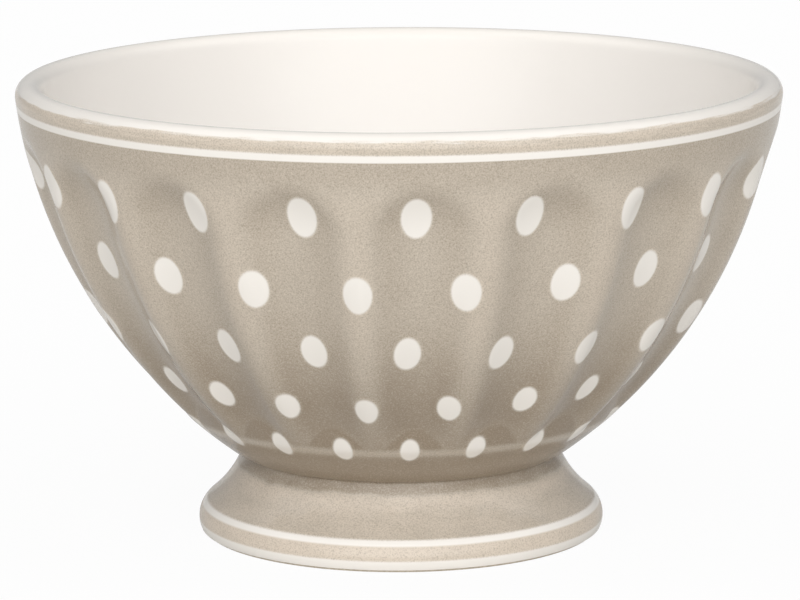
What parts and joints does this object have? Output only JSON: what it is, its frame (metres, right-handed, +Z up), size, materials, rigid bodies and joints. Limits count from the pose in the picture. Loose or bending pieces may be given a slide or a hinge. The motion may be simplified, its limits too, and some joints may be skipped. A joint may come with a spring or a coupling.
{
  "type": "latte bowl",
  "caption": "Round footed latte bowl in glazed stoneware, fluted outside with arched flute heads, a taupe glaze with white dots and lines, and a white inside.",
  "frame": {"origin": "centre of the ring that the foot stands on", "axes": "+Z up along the axis of the bowl; -Y is the side that the picture shows"},
  "size_m": [0.1496, 0.1496, 0.0899],
  "materials": {
    "stoneware": "dry fired clay",
    "slip": "fired slip under glaze",
    "white_glaze": "gloss",
    "taupe_glaze": "gloss, finely mottled"
  },
  "bodies": {
    "root": {"bowl_body": "stoneware", "foot_ring": "stoneware", "luting_slip": "slip", "liner_glaze": "white_glaze", "field_glaze": "taupe_glaze", "dot_glaze": "white_glaze", "rim_band_glaze": "taupe_glaze", "rim_line_glaze": "white_glaze", "foot_glaze": "taupe_glaze", "foot_line_glaze": "white_glaze", "foot_band_glaze": "taupe_glaze", "foot_edge_glaze": "white_glaze", "well_glaze": "white_glaze"}
  },
  "joints": []
}
